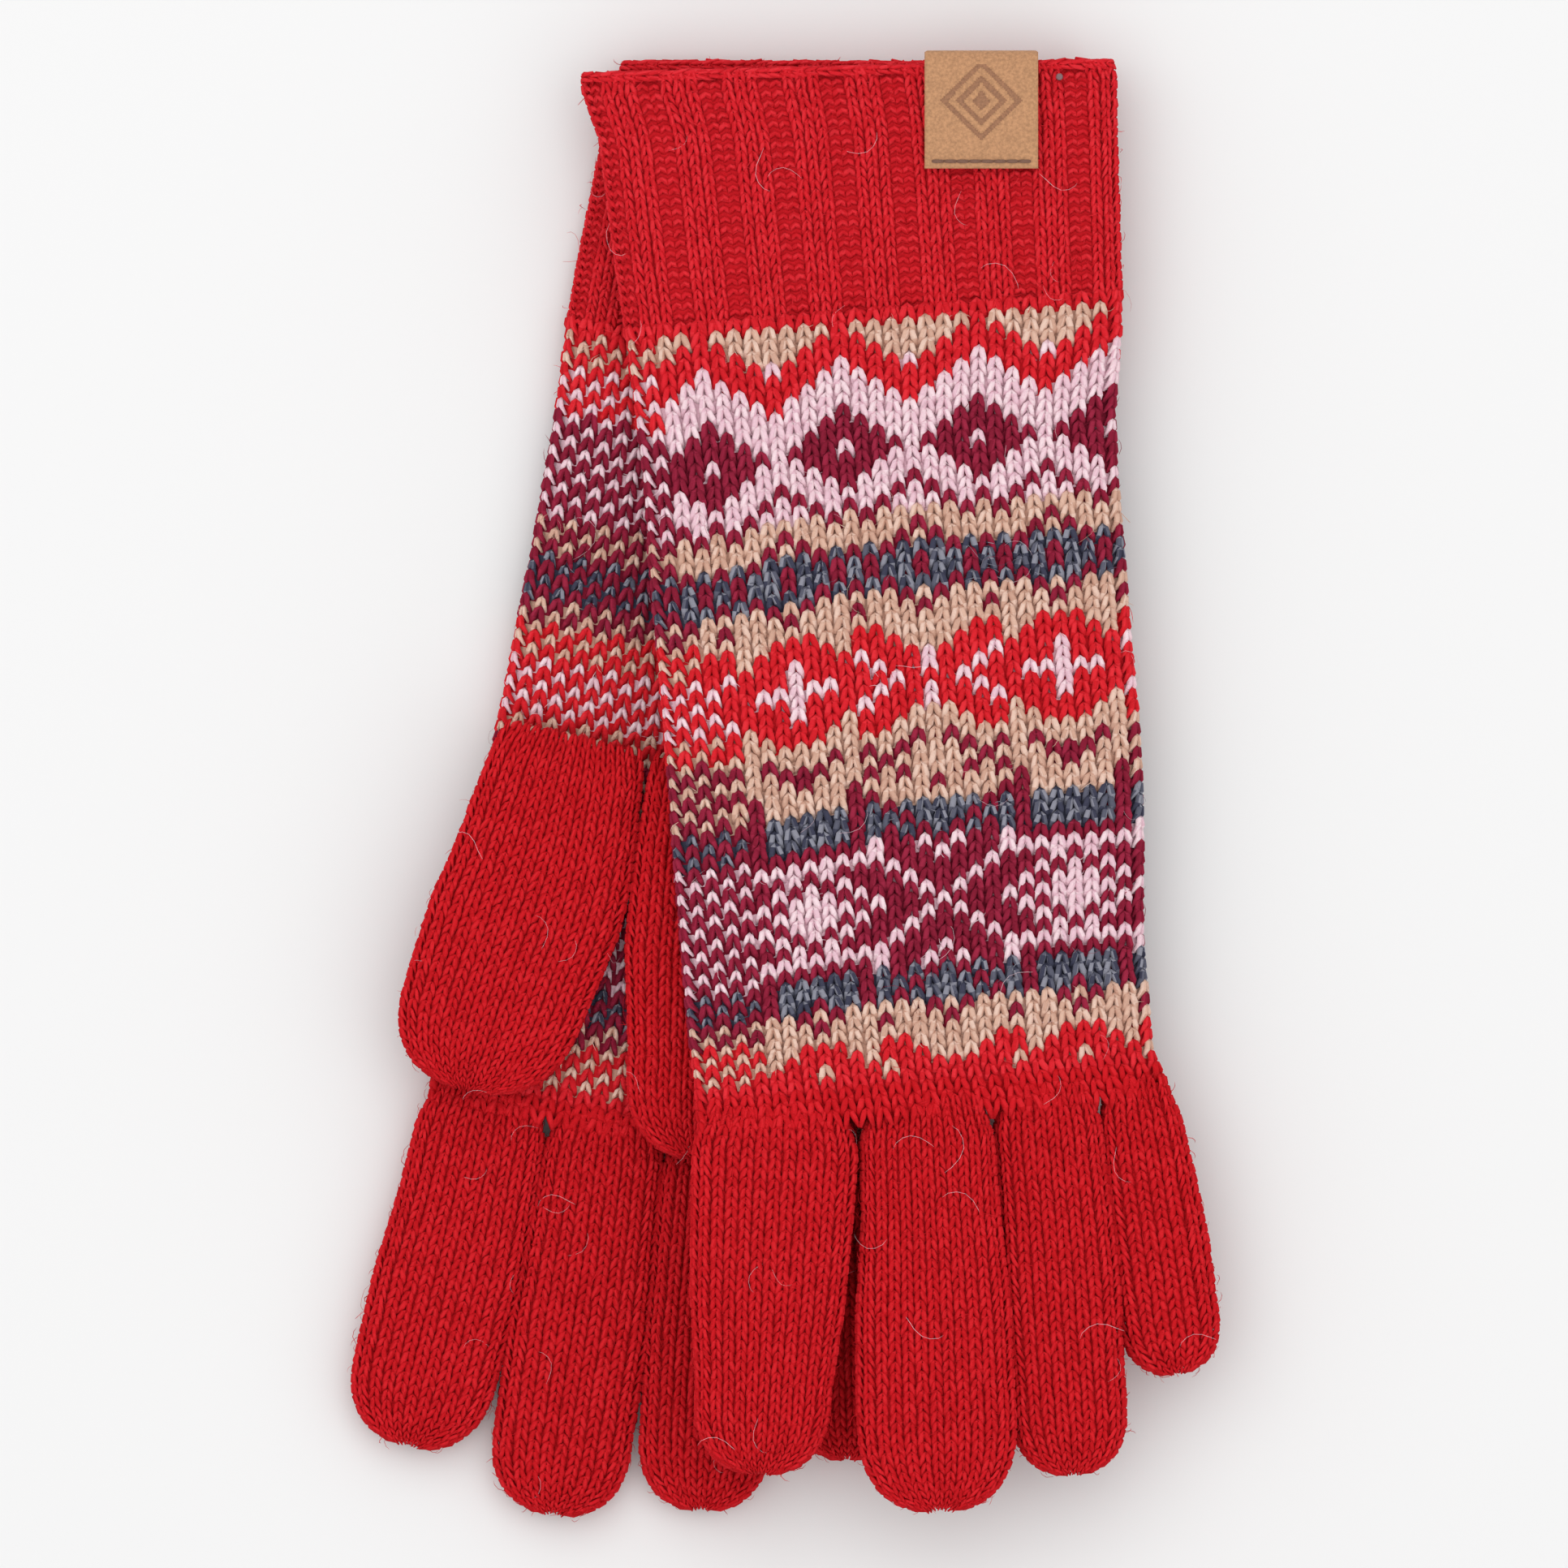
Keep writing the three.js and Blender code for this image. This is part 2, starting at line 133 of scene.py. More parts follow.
for name, place, size, power in (
    ("overhead", (-0.12, 0.2, 0.95), 1.2, 3.9),
    ("side", (0.7, -0.3, 0.8), 0.8, 0.7),
):
    data = bpy.data.lights.new(name, "AREA")
    data.size, data.energy = size, power
    lamp = bpy.data.objects.new(name, data)
    lamp.location = place
    to_middle = MIDDLE - lamp.location
    lamp.rotation_euler = to_middle.to_track_quat("-Z", "Y").to_euler()
    bpy.context.scene.collection.objects.link(lamp)

VIEW_WIDTH = 0.28014
VIEW_FROM = (-0.00096, -0.00036, 0.8)
camera_data = bpy.data.cameras.new("overhead_camera")
camera_data.type = "ORTHO"
camera_data.ortho_scale = VIEW_WIDTH
camera = bpy.data.objects.new("overhead_camera", camera_data)
camera.location = VIEW_FROM
bpy.context.scene.collection.objects.link(camera)
bpy.context.scene.camera = camera

# ---------------------------------------------------------------- wool yarn
# Lightly felted two-ply wool in six colours, two of them reds. Fibres of close shades are spun together,
# so each colour is mixed from three, and the grey is a heather of dark and light wool.

YARN_SHADES = {
    "red": ("#da222d", "#d01d27", "#e32d37"),
    "burgundy": ("#8e1e38", "#841a32", "#9a2540"),
    "pink": ("#efcdd6", "#e9c2ce", "#f5dae0"),
    "tan": ("#dcb4a0", "#cfa490", "#e7c5b4"),
    "grey": ("#5c5d6c", "#3f4052", "#8d8d99"),
    "deep_red": ("#d01822", "#c6141d", "#d82029"),
}
FIBRE = 0.35 * MM  # spacing of the fibres that show as fine ridges along the yarn


def wool(name, colour):
    """Wool yarn: fully matt, a soft glow of loose fibres at its edges, fine ridges."""
    material = fresh_material(name)
    tree = material.node_tree
    place = add_node(tree, "ShaderNodeTexCoord")
    ridges = add_node(
        tree,
        "ShaderNodeTexNoise",
        {"Scale": 1 / FIBRE, "Detail": 3.0, "Roughness": 0.6},
        {"Vector": place.outputs["Object"]},
    )
    bump = add_node(
        tree, "ShaderNodeBump", {"Strength": 0.9, "Distance": 0.3 * MM}, {"Height": ridges.outputs[0]}
    )
    shader = add_node(
        tree,
        "ShaderNodeBsdfPrincipled",
        {
            "Base Color": [*linear(colour), 1],
            "Roughness": 0.92,
            "IOR": 1.54,
            "Specular IOR Level": 0.12,
            "Sheen Weight": 0.35,
            "Sheen Roughness": 0.45,
            "Sheen Tint": [*linear(colour), 1],
        },
        {"Normal": bump.outputs[0]},
    )
    add_node(tree, "ShaderNodeOutputMaterial", links={"Surface": shader.outputs[0]})
    return material


YARNS = {
    yarn: [wool(f"wool_{yarn}_{i}", shade) for i, shade in enumerate(shades)]
    for yarn, shades in YARN_SHADES.items()
}
SHADES = 3

# ---------------------------------------------------------------- one knitted stitch
# A stitch is one bend of yarn: two legs that meet in a rounded top towards the cuff
# and go in behind the row below. A purl stitch shows only the bar between two loops.
# Across it is one stitch wide, along it is counted in rows.

PLAIN_BEND = [  # across, along, out, thickness of the yarn, for the right-hand half
    (0.00, 0.62, 0.02, 0.17),
    (0.15, 0.36, 0.20, 0.20),
    (0.28, -0.26, 0.17, 0.21),
    (0.43, -1.08, -0.26, 0.12),
]
PURL_BEND = [(0.00, 0.30, 0.20, 0.24), (0.27, 0.10, 0.15, 0.26), (0.52, -0.36, -0.22, 0.15)]
FINE_SIDES, FULL_SIDES = 4, 5


def yarn_tube(name, line, sides):
    """A tube along points of (across, along, out, radius), closed at its ends."""
    points = np.array(line)[:, :3]
    ahead = np.gradient(points, axis=0)
    ahead /= np.linalg.norm(ahead, axis=1)[:, None]
    verts, faces = [], []
    for (x, y, z, r), d in zip(line, ahead):
        side = np.cross(d, (0, 0, 1.0))
        side /= np.linalg.norm(side)
        up = np.cross(side, d)
        for k in range(sides):
            a = 2 * math.pi * k / sides
            verts.append(np.array((x, y, z)) + r * (math.cos(a) * side + math.sin(a) * up))
    for i in range(len(line) - 1):
        for k in range(sides):
            a, b = i * sides + k, i * sides + (k + 1) % sides
            faces.append((a, a + sides, b + sides, b))
    faces.append(tuple(range(sides)))
    faces.append(tuple(range((len(line) - 1) * sides, len(line) * sides))[::-1])
    mesh = bpy.data.meshes.new(name)
    mesh.from_pydata([tuple(v) for v in verts], [], faces)
    mesh.polygons.foreach_set("use_smooth", [True] * len(mesh.polygons))
    return bpy.data.objects.new(name, mesh)


def both_sides(half):
    return [(-x, y, z, r) for x, y, z, r in half[:0:-1]] + list(half)


plain_stitch = yarn_tube("plain_stitch", both_sides(PLAIN_BEND), FULL_SIDES)
fine_stitch = yarn_tube("fine_stitch", both_sides(PLAIN_BEND), FINE_SIDES)
purl_stitch = yarn_tube("purl_stitch", both_sides(PURL_BEND), FINE_SIDES)

STITCH_JITTER = 0.1
STITCH_TURN = 0.12  # radians a stitch may lie askew


def knitting_nodes():
    """Sets one stitch on every point of a chart, turned and sized as the point says."""
    tree = bpy.data.node_groups.new("knitting", "GeometryNodeTree")
    face = tree.interface
    face.new_socket("Geometry", in_out="INPUT", socket_type="NodeSocketGeometry")
    face.new_socket("Stitch", in_out="INPUT", socket_type="NodeSocketObject")
    face.new_socket("Unevenness", in_out="INPUT", socket_type="NodeSocketFloat")
    face.new_socket("Seed", in_out="INPUT", socket_type="NodeSocketInt")
    face.new_socket("Geometry", in_out="OUTPUT", socket_type="NodeSocketGeometry")
    given = add_node(tree, "NodeGroupInput")
    facing, along, size = (
        add_node(tree, "GeometryNodeInputNamedAttribute", {"Name": n}, data_type="FLOAT_VECTOR")
        for n in ("facing", "along", "size")
    )
    turn = add_node(
        tree,
        "FunctionNodeAxesToRotation",
        links={"Primary Axis": facing.outputs[0], "Secondary Axis": along.outputs[0]},
        primary_axis="Z",
        secondary_axis="Y",
    )
    askew = add_node(
        tree,
        "FunctionNodeRandomValue",
        {0: (-STITCH_TURN,) * 3, 1: (STITCH_TURN,) * 3},
        {"Seed": given.outputs["Seed"]},
        data_type="FLOAT_VECTOR",
    )
    as_turn = add_node(tree, "FunctionNodeEulerToRotation", links={"Euler": askew.outputs[0]})
    laid = add_node(
        tree,
        "FunctionNodeRotateRotation",
        links={"Rotation": turn.outputs[0], "Rotate By": as_turn.outputs[0]},
        rotation_space="LOCAL",
    )
    least = add_node(tree, "ShaderNodeMath", {0: 1.0}, {1: given.outputs["Unevenness"]}, operation="SUBTRACT")
    most = add_node(tree, "ShaderNodeMath", {0: 1.0}, {1: given.outputs["Unevenness"]}, operation="ADD")
    uneven = add_node(
        tree,
        "FunctionNodeRandomValue",
        links={2: least.outputs[0], 3: most.outputs[0], "Seed": given.outputs["Seed"]},
        data_type="FLOAT",
    )
    sized = add_node(
        tree,
        "ShaderNodeVectorMath",
        links={0: size.outputs[0], "Scale": uneven.outputs[1]},
        operation="SCALE",
    )
    shape = add_node(tree, "GeometryNodeObjectInfo", links={"Object": given.outputs["Stitch"]})
    placed = add_node(
        tree,
        "GeometryNodeInstanceOnPoints",
        links={
            "Points": given.outputs["Geometry"],
            "Instance": shape.outputs["Geometry"],
            "Rotation": laid.outputs[0],
            "Scale": sized.outputs[0],
        },
    )
    made = add_node(tree, "GeometryNodeRealizeInstances", links={"Geometry": placed.outputs[0]})
    yarn = add_node(tree, "GeometryNodeInputNamedAttribute", {"Name": "yarn"}, data_type="INT")
    shade = add_node(
        tree,
        "FunctionNodeRandomValue",
        {4: 0, 5: SHADES - 1},
        {"Seed": given.outputs["Seed"]},
        data_type="INT",
    )
    which = add_node(
        tree,
        "ShaderNodeMath",
        {1: float(SHADES)},
        {0: yarn.outputs[0], 2: shade.outputs[2]},
        operation="MULTIPLY_ADD",
    )
    last = made.outputs[0]
    for number, material in enumerate(m for shades in YARNS.values() for m in shades):
        same = add_node(
            tree,
            "FunctionNodeCompare",
            {3: number},
            {2: which.outputs[0]},
            data_type="INT",
            operation="EQUAL",
        )
        painted = add_node(
            tree,
            "GeometryNodeSetMaterial",
            {"Material": material},
            {"Geometry": last, "Selection": same.outputs[0]},
        )
        last = painted.outputs[0]
    add_node(tree, "NodeGroupOutput", links={"Geometry": last})
    return tree


KNITTING = knitting_nodes()
YARN_NUMBER = {yarn: i for i, yarn in enumerate(YARNS)}


def knit(name, points, facing, along, size, yarns, stitch, seed):
    """Knits a chart of stitches into one plain mesh."""
    chart = bpy.data.meshes.new(name + "_chart")
    chart.from_pydata([tuple(p) for p in points], [], [])
    for key, values in (("facing", facing), ("along", along), ("size", size)):
        chart.attributes.new(key, "FLOAT_VECTOR", "POINT").data.foreach_set(
            "vector", np.ascontiguousarray(values, np.float32).ravel()
        )
    numbers = np.array([YARN_NUMBER[y] for y in yarns], np.int32)
    chart.attributes.new("yarn", "INT", "POINT").data.foreach_set("value", numbers)
    piece = bpy.data.objects.new(name, chart)
    bpy.context.scene.collection.objects.link(piece)
    modifier = piece.modifiers.new("knitting", "NODES")
    modifier.node_group = KNITTING
    wanted = {"Stitch": stitch, "Unevenness": STITCH_JITTER, "Seed": seed}
    for item in KNITTING.interface.items_tree:
        if item.in_out == "INPUT" and item.name in wanted:
            modifier[item.identifier] = wanted[item.name]
    ready = piece.evaluated_get(bpy.context.evaluated_depsgraph_get())
    mesh = bpy.data.meshes.new_from_object(ready)
    piece.modifiers.clear()
    piece.data = mesh
    mesh.name = name
    for key in ("facing", "along", "size", "yarn"):
        if key in mesh.attributes:
            mesh.attributes.remove(mesh.attributes[key])
    bpy.data.meshes.remove(chart)
    return piece


# ---------------------------------------------------------------- loose wool fibres
# Brushed and worn wool carries a halo of fibre ends and a few long strays. They are
# drawn up to four times as thick as real ones, because those would not show at all.

FUZZ_LENGTH, STRAY_LENGTH = (1.4, 3.2), (4.0, 9.0)
FUZZ_SHARE, STRAY_SHARE = 0.5, 0.03  # fibres for each stitch
FUZZ_SPREAD, STRAY_SPREAD = 0.55, 0.25  # how far they lean out of the upright
FUZZ_LOWEST, STRAY_LOWEST = -0.4, 0.3  # under the gloves the fibres are pressed flat
FIBRE_OUT, FIBRE_SCATTER = 0.75, 0.5
fuzz_fibre = yarn_tube(
    "fuzz_fibre",
    [(0, -0.5, -0.3, 0.02), (0.07, -0.15, 0.06, 0.022), (0.02, 0.2, 0.16, 0.02), (-0.1, 0.5, 0.12, 0.006)],
    3,
)
stray_fibre = yarn_tube(
    "stray_fibre",
    [(0, -0.5, -0.08, 0.003), (0.07, -0.34, 0.05, 0.004), (0.15, -0.12, 0.09, 0.004), (0.16, 0.1, 0.1, 0.004),
     (0.08, 0.27, 0.08, 0.004), (-0.06, 0.4, 0.05, 0.0035), (-0.2, 0.44, 0.03, 0.0015)],
    3,
)


def grow_fibres(name, places, facing, yarns, seed):
    """Short fuzz and a few strays from stitches picked at random."""
    rng = np.random.default_rng(seed)
    made = []
    for kind, share, lengths, fibre, spread, lowest in (
        ("fuzz", FUZZ_SHARE, FUZZ_LENGTH, fuzz_fibre, FUZZ_SPREAD, FUZZ_LOWEST),
        ("strays", STRAY_SHARE, STRAY_LENGTH, stray_fibre, STRAY_SPREAD, STRAY_LOWEST),
    ):
        free = np.flatnonzero(facing[:, 2] > lowest)
        pick = rng.permutation(free)[: max(1, round(share * len(free)))]
        out = facing[pick] + rng.normal(0, spread / 2, (len(pick), 3))
        out /= np.linalg.norm(out, axis=1)[:, None]
        way = np.cross(out, rng.normal(0, 1, (len(pick), 3)))
        way /= np.linalg.norm(way, axis=1)[:, None]
        long = rng.uniform(*lengths, len(pick))[:, None] * MM * np.ones(3)
        scatter = rng.normal(0, FIBRE_SCATTER * MM, (len(pick), 3))
        base = places[pick] + facing[pick] * FIBRE_OUT * MM + scatter
        wool_of = [yarns[i] for i in pick]
        if kind == "strays":  # a third of the strays are pale fibres shed by the lighter yarns
            wool_of = ["pink" if n % 3 == 0 else yarn for n, yarn in enumerate(wool_of)]
        made.append(knit(f"{name}_{kind}", base, out, way, long, wool_of, fibre, seed))
    return made


# ---------------------------------------------------------------- the knitted tubes
# Every part of a glove is one tube of knitting pressed flat. A tube is a stack of rings,
# one for each row, with one point for each stitch round it. Sizes are in millimetres,
# in the glove's own frame: x across, y back towards the cuff, 0 at the cuff's edge.
# In the table of gloves a cuff has its widths at the edge and the wrist, and its edge's
# turn and shift. A hand has its widths at the wrist, palm and knuckles, its middle across
# at the palm and the knuckles, and its length. A finger has its angle, length and widths.

GAP = 0.3  # between two parts of a glove, and between the two gloves
FLAT = 0.8  # a tube's top and bottom are pressed to this share of their bulge
PRESSED_POWER = 2 / 3  # below 1 the outline is fuller than an ellipse
OUTLINE_POINTS = 241
WAVE_LENGTHS = (45, 26, 16)
WAVE_DIVISOR = 90
YARN_IN = 1.0  # the stitches' middle line lies this far inside the tube's outside
GLOVES = {
    "left": {
        "wrist": 44.4, "cuff": (96.2, 91, -3.0, (0, 0.7)), "hand": (90, 86, 85.9, -0.8, -0.3, 142.8),
        "thumb": (-7.9, 72, (25.4, 29.5, 31, 27.5)),
        "fingers": {
            "index": (-7.3, 61.5, (29.5, 28.4, 27, 23.6)),
            "middle": (-1.99, 70.3, (23.2, 24.2, 27, 28)),
            "ring": (0.7, 65.5, (18.8, 19.6, 20.6, 20.2)),
            "little": (4.22, 48.9, (13.2, 15.8, 17.2, 17.2)),
        },
    },
    "right": {
        "wrist": 56, "cuff": (88, 89, 10.7, (-0.8, -0.1)), "hand": (88.4, 86, 86, 0, 0, 140.4),
        "thumb": (-2.6, 66, (25.4, 30, 33.4, 32)),
        "fingers": {
            "index": (-0.9, 61, (22.4, 23.8, 26, 25.2)),
            "middle": (3.52, 68.4, (20.8, 22.4, 24.6, 24)),
            "ring": (7.17, 63, (20.8, 22, 23.6, 22.8)),
            "little": (12.4, 50, (20.8, 20.6, 20.4, 18.6)),
        },
    },
}
joints = {joint["name"]: joint for joint in frame["joints"]}


def height(node):
    """The lowest point and the thickness of a node, in millimetres."""
    lower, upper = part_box(node)
    return lower.z / MM, (upper.z - lower.z) / MM


def place_glove(side):
    """Turn and cuff edge of a glove, from its wrist hinge."""
    wrist = joints[f"{side}_wrist"]
    across = np.array(wrist["axis"][:2]) * np.sign(wrist["axis"][0])
    back = np.array([-across[1], across[0]])
    glove = GLOVES[side]
    glove["across"], glove["back"] = across, back
    glove["at"] = np.array(wrist["pos_m"][:2]) / MM + back * (glove["wrist"] + GAP / 2)
    glove["base"], glove["thick"] = height(f"{side}_cuff")


def to_pair(side, grid):
    """From a glove's own millimetres to metres in the pair's frame."""
    glove = GLOVES[side]
    flat = grid[..., :1] * glove["across"] + grid[..., 1:2] * glove["back"] + glove["at"]
    return MM * np.concatenate([flat, grid[..., 2:]], -1)


def hinge_place(side, name):
    """A hinge's place across and along its glove."""
    glove = GLOVES[side]
    away = np.array(joints[name]["pos_m"][:2]) / MM - glove["at"]
    return float(away @ glove["across"]), float(away @ glove["back"])


def lean(grid, x, y, degrees):
    """Moves a finger or thumb from its own frame to its glove's."""
    c, s = math.cos(math.radians(degrees)), math.sin(math.radians(degrees))
    gx, gy = grid[..., 0], grid[..., 1]
    return np.stack([x + gx * c - gy * s, y + gx * s + gy * c, grid[..., 2]], -1)


def smooth(value, start, end):
    share = np.clip((value - start) / (end - start), 0, 1)
    return share * share * (3 - 2 * share)


def outline(width, thickness, count):
    """Evenly spaced points round a pressed tube, from its +X edge over the top."""
    angle = np.linspace(0, 2 * math.pi, OUTLINE_POINTS)
    c, s = np.cos(angle), np.sin(angle)
    x = width / 2 * np.sign(c) * np.abs(c) ** PRESSED_POWER
    bulge = thickness / 2 / FLAT
    z = np.clip(bulge * np.sign(s) * np.abs(s) ** PRESSED_POWER, -thickness / 2, thickness / 2)
    gone = np.concatenate([[0], np.cumsum(np.hypot(np.diff(x), np.diff(z)))])
    want = (np.arange(count) + 0.5) / count * gone[-1]
    return np.interp(want, gone, x), np.interp(want, gone, z)


def rings(rows, count):
    """Rows of a tube. A row is (along, middle across, width, thickness, middle height, turn)."""
    grid = np.zeros((len(rows), count, 3))
    for i, (along, middle, width, thickness, centre, turn) in enumerate(rows):
        x, z = outline(max(width - 2 * YARN_IN, 0.5), max(thickness - 2 * YARN_IN, 0.5), count)
        a = math.radians(turn)
        grid[i] = np.stack([middle + x * math.cos(a), -along + x * math.sin(a), centre + z], 1)
    return grid


def facing_of(grid):
    """Outward directions of a stack of rings."""
    along = np.gradient(grid, axis=0)
    around = np.roll(grid, -1, 1) - np.roll(grid, 1, 1)
    out = np.cross(along, around)
    out /= np.linalg.norm(out, axis=-1)[..., None] + 1e-12
    centre = grid.mean(1)[:, None]
    return out if ((grid - centre) * out).sum() > 0 else -out


def soften(grid, depth, seed):
    """Low waves in the cloth, as worn-in knitting has when it is laid down."""
    rng = np.random.default_rng(seed)
    wave = np.zeros(grid.shape[:2])
    for length in (wave_length * MM for wave_length in WAVE_LENGTHS):
        way, phase = rng.uniform(0, math.pi), rng.uniform(0, 2 * math.pi)
        flat = grid[..., 0] * math.cos(way) + grid[..., 1] * math.sin(way)
        wave += np.sin(flat / length * 2 * math.pi + phase) * length / (WAVE_DIVISOR * MM)
    return grid - facing_of(grid) * (depth * MM * (0.5 + 0.5 * np.clip(wave, -1, 1)))[..., None]


def stitches_of(grid):
    """Place, facing, direction and size of every stitch on a stack of rings."""
    step = np.gradient(grid, axis=0)
    around = (np.roll(grid, -1, 1) - np.roll(grid, 1, 1)) / 2
    wide, tall = np.linalg.norm(around, axis=-1), np.linalg.norm(step, axis=-1)
    size = np.stack([wide, tall, np.full_like(wide, np.median(wide))], -1)
    return grid, facing_of(grid), -step / (tall[..., None] + 1e-12), size


GROUND_IN, GROUND_WALL = 0.25, 0.9  # inside the stitches' middle line, and how thick


def felted_ground(name, grid, yarns, closed_end=False):
    """The felted wool behind the stitches: one wall of cloth in the stitches' own colours."""
    facing = facing_of(grid)
    outer, inner = (grid - facing * depth * MM for depth in (GROUND_IN, GROUND_IN + GROUND_WALL))
    rows, count = grid.shape[:2]
    verts = np.concatenate([outer.reshape(-1, 3), inner.reshape(-1, 3)])
    half, faces, colours = rows * count, [], []
    for i in range(rows - 1):
        for k in range(count):
            a, b = i * count + k, i * count + (k + 1) % count
            faces.append((b, a, a + count, b + count))
            faces.append((half + a, half + b, half + b + count, half + a + count))
            colours += [yarns[a], yarns[a]]
    first, last = ([row * count + k for k in range(count)] for row in (0, rows - 1))
    for k in range(count):
        a, b = first[k], first[(k + 1) % count]
        faces.append((a, b, half + b, half + a))
        colours.append(yarns[a])
    if closed_end:
        faces += [tuple(last[::-1]), tuple(half + k for k in last)]
        colours += [yarns[-1]] * 2
    else:
        for k in range(count):
            a, b = last[k], last[(k + 1) % count]
            faces.append((b, a, half + a, half + b))
            colours.append(yarns[a])
    mesh = bpy.data.meshes.new(name)
    mesh.from_pydata([tuple(v) for v in verts], [], faces)
    used = sorted(set(colours))
    for yarn in used:
        mesh.materials.append(YARNS[yarn][1])
    mesh.polygons.foreach_set("material_index", [used.index(c) for c in colours])
    mesh.polygons.foreach_set("use_smooth", [True] * len(mesh.polygons))
    piece = bpy.data.objects.new(name, mesh)
    bpy.context.scene.collection.objects.link(piece)
    return piece


for side in GLOVES:
    place_glove(side)

# ---------------------------------------------------------------- ribbed cuffs
# Red ribbing of three plain and two purl columns. The plain columns stand up as ribs,
# the purl ones sink between them. A cast-on chain finishes the open edge.

RIBS = 18
RIB_PLAIN, RIB_PURL = 3, 2
CUFF_ROW = 1.75
RIB_SINK = 0.8
RIB_ROUND = 0.35  # how much lower a rib's outer columns stand than its middle one
EDGE_THICK = 1.9
EDGE_IN = 0.3  # how far the chain lies in from the first row, inwards and along
EDGE_DRAW = 1.8  # the cast-on chain draws the corners in
EDGE_FLARE = {"left": 2.0, "right": 0.0}  # the upper cuff spreads at its edge, on the thumb side
WAVE_DEPTH = 0.5
CUFF_SEEDS, HAND_SEEDS = {"left": 3, "right": 4}, {"left": 5, "right": 6}


def knit_cuff(side):
    glove = GLOVES[side]
    edge, wrist, edge_turn, edge_shift = glove["cuff"]
    length = glove["wrist"]
    count = RIBS * (RIB_PLAIN + RIB_PURL)
    middle = glove["base"] + glove["thick"] / 2
    row_count = round(length / CUFF_ROW)
    shares = (np.arange(row_count) + 0.5) / row_count

    def cuff_row(s):
        drawn = EDGE_DRAW * (1 - float(smooth(s, 0, 0.07)))
        flare = EDGE_FLARE[side] * (1 - float(smooth(s, 0, 0.3)))
        return (s * length - (1 - s) * edge_shift[1], (1 - s) * edge_shift[0] - flare / 2,
                edge + (wrist - edge) * s + flare - drawn, glove["thick"], middle, (1 - s) * edge_turn)

    grid = to_pair(side, rings([cuff_row(s) for s in shares], count))
    grid = soften(grid, WAVE_DEPTH, CUFF_SEEDS[side])
    column = np.arange(count) % (RIB_PLAIN + RIB_PURL)
    plain = column < RIB_PLAIN
    crown = np.where(plain, 1 - np.abs(column - (RIB_PLAIN - 1) / 2) * RIB_ROUND, 0)
    settled = 1 - 0.7 * smooth(shares, 0.93, 1.0)  # the ribs run out where the hand begins
    sink = (1 - crown)[None, :] * settled[:, None] * RIB_SINK * MM
    grid = grid - facing_of(grid) * sink[..., None]
    places, facing, along, size = stitches_of(grid)
    body = f"{side}_cuff"
    pieces = []
    kinds = (("ribs", plain, fine_stitch, 21), ("grooves", ~plain, purl_stitch, 22))
    for kind, mask, stitch, seed in kinds:
        pick = [a[:, mask].reshape(-1, 3) for a in (places, facing, along, size)]
        pieces.append(knit(f"{body}_{kind}", *pick, ["red"] * len(pick[0]), stitch, seed))
    ring = to_pair(side, rings([cuff_row(s) for s in (0.0, CUFF_ROW / length)], count))
    along_edge = (np.roll(ring[0], -1, 0) - np.roll(ring[0], 1, 0)) / 2
    pitch = np.linalg.norm(along_edge, axis=1)
    chain_size = np.stack([np.full(count, EDGE_THICK * MM), pitch, np.full(count, EDGE_THICK * MM)], -1)
    lower = ring[0] - facing_of(ring)[0] * EDGE_IN * MM + (ring[1] - ring[0]) * EDGE_IN
    pieces.append(
        knit(f"{body}_edge", lower, facing_of(ring)[0], along_edge / pitch[:, None], chain_size,
             ["red"] * count, fine_stitch, 23)
    )
    flat = [a.reshape(-1, 3) for a in (places, facing)]
    pieces += grow_fibres(body, *flat, ["red"] * len(flat[0]), 24)
    pieces.append(felted_ground(f"{body}_ground", grid, ["red"] * len(flat[0])))
    for piece in pieces:
        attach(piece, body)
    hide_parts(body)


for side in GLOVES:
    knit_cuff(side)

# ---------------------------------------------------------------- patterned hands
# Stranded knitting in five colours. The back follows a chart that mirrors about every
# eighth column; the palm and the thumb's side carry the two yarns in single-stitch
# checks. R red, B burgundy, P pink, T tan, G grey; a row is columns 0 to 8.

CHART_TOP = """
TTTTRTTTT TTTRRRTTT TTRRRRRTT PRRRPRRRP RRRPPPRRR RRPPPPPRR RPPPPPPPR PPPPBPPPP PPPBBBPPP
PPBBBBBPP PBBBPBBBP PPBBBBBPP PPPBBBPPP BPPPBPPPB PBPPPPPBP PPBPBPBPP TTTBTBTTT BTTTTTTTB
TBTTTTTBT GGBGBGBGG BGGBGBGGB BGGBGBGGB GGBGBGBGG
TBTTTTTBT BTTTBTTTB TTTTTTTTT RRTTRRTTT RRRTRRRTT
PRRRPRRRP PRRRRPRRP PPPRRRPRR PRRRRPRRP PRRRPRRRP
RRRTRRRTT RRTTRRTTT TTTTTTTBT TTBTBTBTT BBTTTBTTT BTTTBTBTT TTTBTTTTB TTTBBTTTT GGGBGBGGG
""".split()
CHART_STAR = "GGGBGGBGG GGGBGBGBG BBBBPBBPB PPPPPBBBP BPBBBPBBB PBPBBBPBB PPBPBBBPB".split()
CHART_HEART = ["PPPBPBBBP"]
CHART_FOOT = "BGGBGBGGG TBTTTTTBT BTTTBTTTB TTTTTTTTT RRTTRRTTT RRRTRRRTT TRRRTRRRR".split()
CHART = CHART_TOP + CHART_STAR + CHART_HEART + CHART_STAR[::-1] + CHART_FOOT
LETTERS = {"R": "red", "B": "burgundy", "P": "pink", "T": "tan", "G": "grey"}

